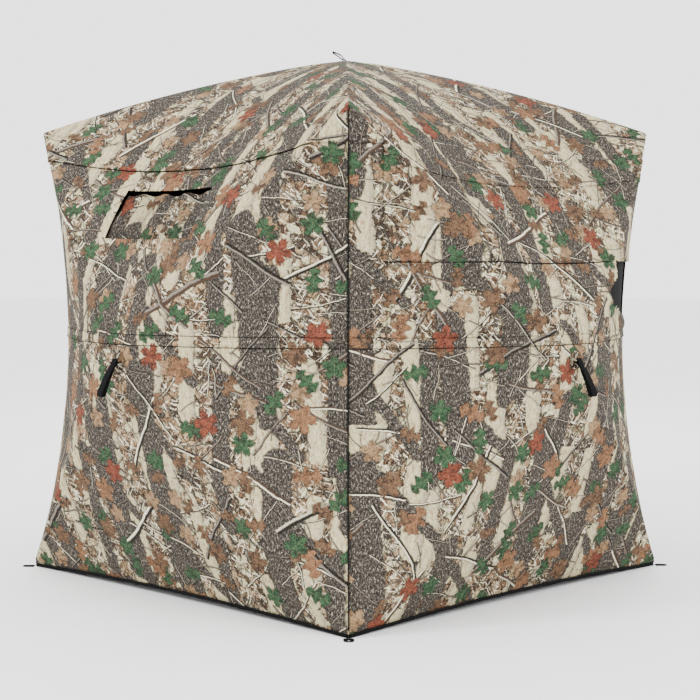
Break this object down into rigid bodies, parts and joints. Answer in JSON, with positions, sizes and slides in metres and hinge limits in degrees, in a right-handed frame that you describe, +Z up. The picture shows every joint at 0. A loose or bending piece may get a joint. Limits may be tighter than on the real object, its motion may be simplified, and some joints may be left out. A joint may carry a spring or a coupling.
{
  "type": "pop up ground blind",
  "caption": "Square pop-up ground blind in woodland print fabric, its walls and low roof held out by sprung poles on hubs, with window covers, a zipped door and pull straps",
  "frame": {"origin": "on the ground under the middle of the cabin", "axes": "+Z up; the front wall faces -Y and the right wall +X"},
  "size_m": [2.0536, 2.0536, 1.7478],
  "materials": {
    "camo": "woven polyester with a printed woodland pattern of bark, leaves and twigs, black inside",
    "inner_cover": "the same printed polyester, in the shade of the window",
    "mesh": "fine black see-through net",
    "webbing": "black woven webbing",
    "zip_tape": "black zip tape with moulded coil teeth",
    "steel": "plated steel",
    "moulded": "black moulded nylon",
    "pole": "dark pultruded fibreglass rod with a steel end fitting and a moulded tip"
  },
  "bodies": {
    "root": {"roof_fabric": "camo", "front_fabric": "camo", "right_fabric": "camo", "back_fabric": "camo", "left_fabric": "camo", "ground_hem": "webbing", "stake_loops": "webbing", "ground_anchors": "moulded", "roof_anchors": "moulded", "right_window_mesh": "mesh", "right_lower_cover": "camo", "door_zips": "zip_tape"},
    "front_hub": {"front_hub": "moulded", "front_hub_plate": "moulded", "front_hub_pins": "steel"},
    "front_pole_upper_right": {"front_pole_upper_right": "pole"},
    "front_pole_upper_left": {"front_pole_upper_left": "pole"},
    "front_pole_lower_left": {"front_pole_lower_left": "pole"},
    "front_pole_lower_right": {"front_pole_lower_right": "pole"},
    "front_strap": {"front_strap": "webbing"},
    "right_hub": {"right_hub": "moulded", "right_hub_plate": "moulded", "right_hub_pins": "steel"},
    "right_pole_upper_right": {"right_pole_upper_right": "pole"},
    "right_pole_upper_left": {"right_pole_upper_left": "pole"},
    "right_pole_lower_left": {"right_pole_lower_left": "pole"},
    "right_pole_lower_right": {"right_pole_lower_right": "pole"},
    "right_strap": {"right_strap": "webbing"},
    "back_hub": {"back_hub": "moulded", "back_hub_plate": "moulded", "back_hub_pins": "steel"},
    "back_pole_upper_right": {"back_pole_upper_right": "pole"},
    "back_pole_upper_left": {"back_pole_upper_left": "pole"},
    "back_pole_lower_left": {"back_pole_lower_left": "pole"},
    "back_pole_lower_right": {"back_pole_lower_right": "pole"},
    "back_strap": {"back_strap": "webbing"},
    "left_hub": {"left_hub": "moulded", "left_hub_plate": "moulded", "left_hub_pins": "steel"},
    "left_pole_upper_right": {"left_pole_upper_right": "pole"},
    "left_pole_upper_left": {"left_pole_upper_left": "pole"},
    "left_pole_lower_left": {"left_pole_lower_left": "pole"},
    "left_pole_lower_right": {"left_pole_lower_right": "pole"},
    "left_strap": {"left_strap": "webbing"},
    "roof_hub": {"roof_hub": "moulded", "roof_hub_plate": "moulded", "roof_hub_pins": "steel"},
    "roof_pole_back_right": {"roof_pole_back_right": "pole"},
    "roof_pole_back_left": {"roof_pole_back_left": "pole"},
    "roof_pole_front_left": {"roof_pole_front_left": "pole"},
    "roof_pole_front_right": {"roof_pole_front_right": "pole"},
    "roof_strap": {"roof_strap": "webbing"},
    "front_window_cover": {"front_window_cover": "inner_cover"},
    "left_window_cover": {"left_window_cover": "inner_cover"},
    "right_upper_flap": {"right_upper_flap": "camo"},
    "back_door": {"back_door": "camo"},
    "upper_zip_slider": {"upper_zip_slider": "steel"},
    "lower_zip_slider": {"lower_zip_slider": "steel"}
  },
  "joints": [
    {"name": "front_pop", "type": "slide", "parent": "root", "child": "front_hub", "axis": [0, 1, 0], "range_m": [0, 0.372], "deforming": ["front_fabric"]},
    {"name": "front_pole_upper_right_pin", "type": "hinge", "parent": "front_hub", "child": "front_pole_upper_right", "pos_m": [0.03461, -0.93, 0.78469], "axis": [0.7079, 0, -0.7063], "range_deg": [-1, 24.46]},
    {"name": "front_pole_upper_left_pin", "type": "hinge", "parent": "front_hub", "child": "front_pole_upper_left", "pos_m": [-0.03461, -0.93, 0.78469], "axis": [0.7079, 0, 0.7063], "range_deg": [-1, 24.46]},
    {"name": "front_pole_lower_left_pin", "type": "hinge", "parent": "front_hub", "child": "front_pole_lower_left", "pos_m": [-0.03481, -0.93, 0.71551], "axis": [-0.7038, 0, 0.7104], "range_deg": [-1, 23.77]},
    {"name": "front_pole_lower_right_pin", "type": "hinge", "parent": "front_hub", "child": "front_pole_lower_right", "pos_m": [0.03481, -0.93, 0.71551], "axis": [-0.7038, 0, -0.7104], "range_deg": [-1, 23.77]},
    {"name": "front_strap_swing", "type": "hinge", "parent": "front_hub", "child": "front_strap", "pos_m": [0, -0.972, 0.75], "axis": [-1, 0, 0], "range_deg": [-22, 110], "stiffness_Nm_per_rad": 0.12},
    {"name": "right_pop", "type": "slide", "parent": "root", "child": "right_hub", "axis": [-1, 0, 0], "range_m": [0, 0.372], "deforming": ["right_fabric", "right_lower_cover", "right_window_mesh"]},
    {"name": "right_pole_upper_right_pin", "type": "hinge", "parent": "right_hub", "child": "right_pole_upper_right", "pos_m": [0.93, 0.03461, 0.78469], "axis": [0, 0.7079, -0.7063], "range_deg": [-1, 24.46]},
    {"name": "right_pole_upper_left_pin", "type": "hinge", "parent": "right_hub", "child": "right_pole_upper_left", "pos_m": [0.93, -0.03461, 0.78469], "axis": [0, 0.7079, 0.7063], "range_deg": [-1, 24.46]},
    {"name": "right_pole_lower_left_pin", "type": "hinge", "parent": "right_hub", "child": "right_pole_lower_left", "pos_m": [0.93, -0.03481, 0.71551], "axis": [0, -0.7038, 0.7104], "range_deg": [-1, 23.77]},
    {"name": "right_pole_lower_right_pin", "type": "hinge", "parent": "right_hub", "child": "right_pole_lower_right", "pos_m": [0.93, 0.03481, 0.71551], "axis": [0, -0.7038, -0.7104], "range_deg": [-1, 23.77]},
    {"name": "right_strap_swing", "type": "hinge", "parent": "right_hub", "child": "right_strap", "pos_m": [0.972, 0, 0.75], "axis": [0, -1, 0], "range_deg": [-22, 110], "stiffness_Nm_per_rad": 0.12},
    {"name": "back_pop", "type": "slide", "parent": "root", "child": "back_hub", "axis": [0, -1, 0], "range_m": [0, 0.372], "deforming": ["back_fabric", "door_zips"]},
    {"name": "back_pole_upper_right_pin", "type": "hinge", "parent": "back_hub", "child": "back_pole_upper_right", "pos_m": [-0.03461, 0.93, 0.78469], "axis": [-0.7079, 0, -0.7063], "range_deg": [-1, 24.46]},
    {"name": "back_pole_upper_left_pin", "type": "hinge", "parent": "back_hub", "child": "back_pole_upper_left", "pos_m": [0.03461, 0.93, 0.78469], "axis": [-0.7079, 0, 0.7063], "range_deg": [-1, 24.46]},
    {"name": "back_pole_lower_left_pin", "type": "hinge", "parent": "back_hub", "child": "back_pole_lower_left", "pos_m": [0.03481, 0.93, 0.71551], "axis": [0.7038, 0, 0.7104], "range_deg": [-1, 23.77]},
    {"name": "back_pole_lower_right_pin", "type": "hinge", "parent": "back_hub", "child": "back_pole_lower_right", "pos_m": [-0.03481, 0.93, 0.71551], "axis": [0.7038, 0, -0.7104], "range_deg": [-1, 23.77]},
    {"name": "back_strap_swing", "type": "hinge", "parent": "back_hub", "child": "back_strap", "pos_m": [0, 0.972, 0.75], "axis": [1, 0, 0], "range_deg": [-22, 110], "stiffness_Nm_per_rad": 0.12},
    {"name": "left_pop", "type": "slide", "parent": "root", "child": "left_hub", "axis": [1, 0, 0], "range_m": [0, 0.372], "deforming": ["left_fabric"]},
    {"name": "left_pole_upper_right_pin", "type": "hinge", "parent": "left_hub", "child": "left_pole_upper_right", "pos_m": [-0.93, -0.03461, 0.78469], "axis": [0, -0.7079, -0.7063], "range_deg": [-1, 24.46]},
    {"name": "left_pole_upper_left_pin", "type": "hinge", "parent": "left_hub", "child": "left_pole_upper_left", "pos_m": [-0.93, 0.03461, 0.78469], "axis": [0, -0.7079, 0.7063], "range_deg": [-1, 24.46]},
    {"name": "left_pole_lower_left_pin", "type": "hinge", "parent": "left_hub", "child": "left_pole_lower_left", "pos_m": [-0.93, 0.03481, 0.71551], "axis": [0, 0.7038, 0.7104], "range_deg": [-1, 23.77]},
    {"name": "left_pole_lower_right_pin", "type": "hinge", "parent": "left_hub", "child": "left_pole_lower_right", "pos_m": [-0.93, -0.03481, 0.71551], "axis": [0, 0.7038, -0.7104], "range_deg": [-1, 23.77]},
    {"name": "left_strap_swing", "type": "hinge", "parent": "left_hub", "child": "left_strap", "pos_m": [-0.972, 0, 0.75], "axis": [0, 1, 0], "range_deg": [-22, 110], "stiffness_Nm_per_rad": 0.12},
    {"name": "roof_pop", "type": "slide", "parent": "root", "child": "roof_hub", "axis": [0, 0, -1], "range_m": [0, 0.376], "deforming": ["roof_fabric"]},
    {"name": "roof_pole_back_right_pin", "type": "hinge", "parent": "roof_hub", "child": "roof_pole_back_right", "pos_m": [0.03465, 0.03465, 1.668], "axis": [0.7071, -0.7071, 0], "range_deg": [-1, 24.81]},
    {"name": "roof_pole_back_left_pin", "type": "hinge", "parent": "roof_hub", "child": "roof_pole_back_left", "pos_m": [-0.03465, 0.03465, 1.668], "axis": [0.7071, 0.7071, 0], "range_deg": [-1, 24.81]},
    {"name": "roof_pole_front_left_pin", "type": "hinge", "parent": "roof_hub", "child": "roof_pole_front_left", "pos_m": [-0.03465, -0.03465, 1.668], "axis": [-0.7071, 0.7071, 0], "range_deg": [-1, 24.81]},
    {"name": "roof_pole_front_right_pin", "type": "hinge", "parent": "roof_hub", "child": "roof_pole_front_right", "pos_m": [0.03465, -0.03465, 1.668], "axis": [-0.7071, -0.7071, 0], "range_deg": [-1, 24.81]},
    {"name": "roof_strap_swing", "type": "hinge", "parent": "roof_hub", "child": "roof_strap", "pos_m": [0, 0, 1.71], "axis": [-0.7071, 0.7071, 0], "range_deg": [-30, 100], "stiffness_Nm_per_rad": 0.12},
    {"name": "front_window_cover_drop", "type": "hinge", "parent": "root", "child": "front_window_cover", "pos_m": [0, -0.85516, 1.09365], "axis": [-1, 0, 0], "range_deg": [0, 150]},
    {"name": "left_window_cover_drop", "type": "hinge", "parent": "root", "child": "left_window_cover", "pos_m": [-0.85516, 0, 1.09365], "axis": [0, 1, 0], "range_deg": [0, 150]},
    {"name": "right_upper_flap_lift", "type": "hinge", "parent": "root", "child": "right_upper_flap", "pos_m": [0.75912, 0, 1.39951], "axis": [0, -1, 0], "range_deg": [0, 120]},
    {"name": "back_door_swing", "type": "hinge", "parent": "root", "child": "back_door", "pos_m": [0.63996, 0.76862, 0.74235], "axis": [0.0218, 0.0214, -0.9995], "range_deg": [0, 110]},
    {"name": "upper_zip_slide", "type": "slide", "parent": "root", "child": "upper_zip_slider", "axis": [-0.6756, 0.2931, -0.6765], "range_m": [0, 0.318]},
    {"name": "lower_zip_slide", "type": "slide", "parent": "root", "child": "lower_zip_slider", "axis": [-0.6893, 0.2541, 0.6785], "range_m": [0, 0.325]}
  ],
  "couplings": [
    {"joint": "front_pole_upper_right_pin", "follows": "front_pop", "rad_per_m": 1.1007},
    {"joint": "front_pole_upper_left_pin", "follows": "front_pop", "rad_per_m": 1.1007},
    {"joint": "front_pole_lower_left_pin", "follows": "front_pop", "rad_per_m": 1.0681},
    {"joint": "front_pole_lower_right_pin", "follows": "front_pop", "rad_per_m": 1.0681},
    {"joint": "right_pole_upper_right_pin", "follows": "right_pop", "rad_per_m": 1.1007},
    {"joint": "right_pole_upper_left_pin", "follows": "right_pop", "rad_per_m": 1.1007},
    {"joint": "right_pole_lower_left_pin", "follows": "right_pop", "rad_per_m": 1.0681},
    {"joint": "right_pole_lower_right_pin", "follows": "right_pop", "rad_per_m": 1.0681},
    {"joint": "back_pole_upper_right_pin", "follows": "back_pop", "rad_per_m": 1.1007},
    {"joint": "back_pole_upper_left_pin", "follows": "back_pop", "rad_per_m": 1.1007},
    {"joint": "back_pole_lower_left_pin", "follows": "back_pop", "rad_per_m": 1.0681},
    {"joint": "back_pole_lower_right_pin", "follows": "back_pop", "rad_per_m": 1.0681},
    {"joint": "left_pole_upper_right_pin", "follows": "left_pop", "rad_per_m": 1.1007},
    {"joint": "left_pole_upper_left_pin", "follows": "left_pop", "rad_per_m": 1.1007},
    {"joint": "left_pole_lower_left_pin", "follows": "left_pop", "rad_per_m": 1.0681},
    {"joint": "left_pole_lower_right_pin", "follows": "left_pop", "rad_per_m": 1.0681},
    {"joint": "roof_pole_back_right_pin", "follows": "roof_pop", "rad_per_m": 1.1054},
    {"joint": "roof_pole_back_left_pin", "follows": "roof_pop", "rad_per_m": 1.1054},
    {"joint": "roof_pole_front_left_pin", "follows": "roof_pop", "rad_per_m": 1.1054},
    {"joint": "roof_pole_front_right_pin", "follows": "roof_pop", "rad_per_m": 1.1054}
  ]
}
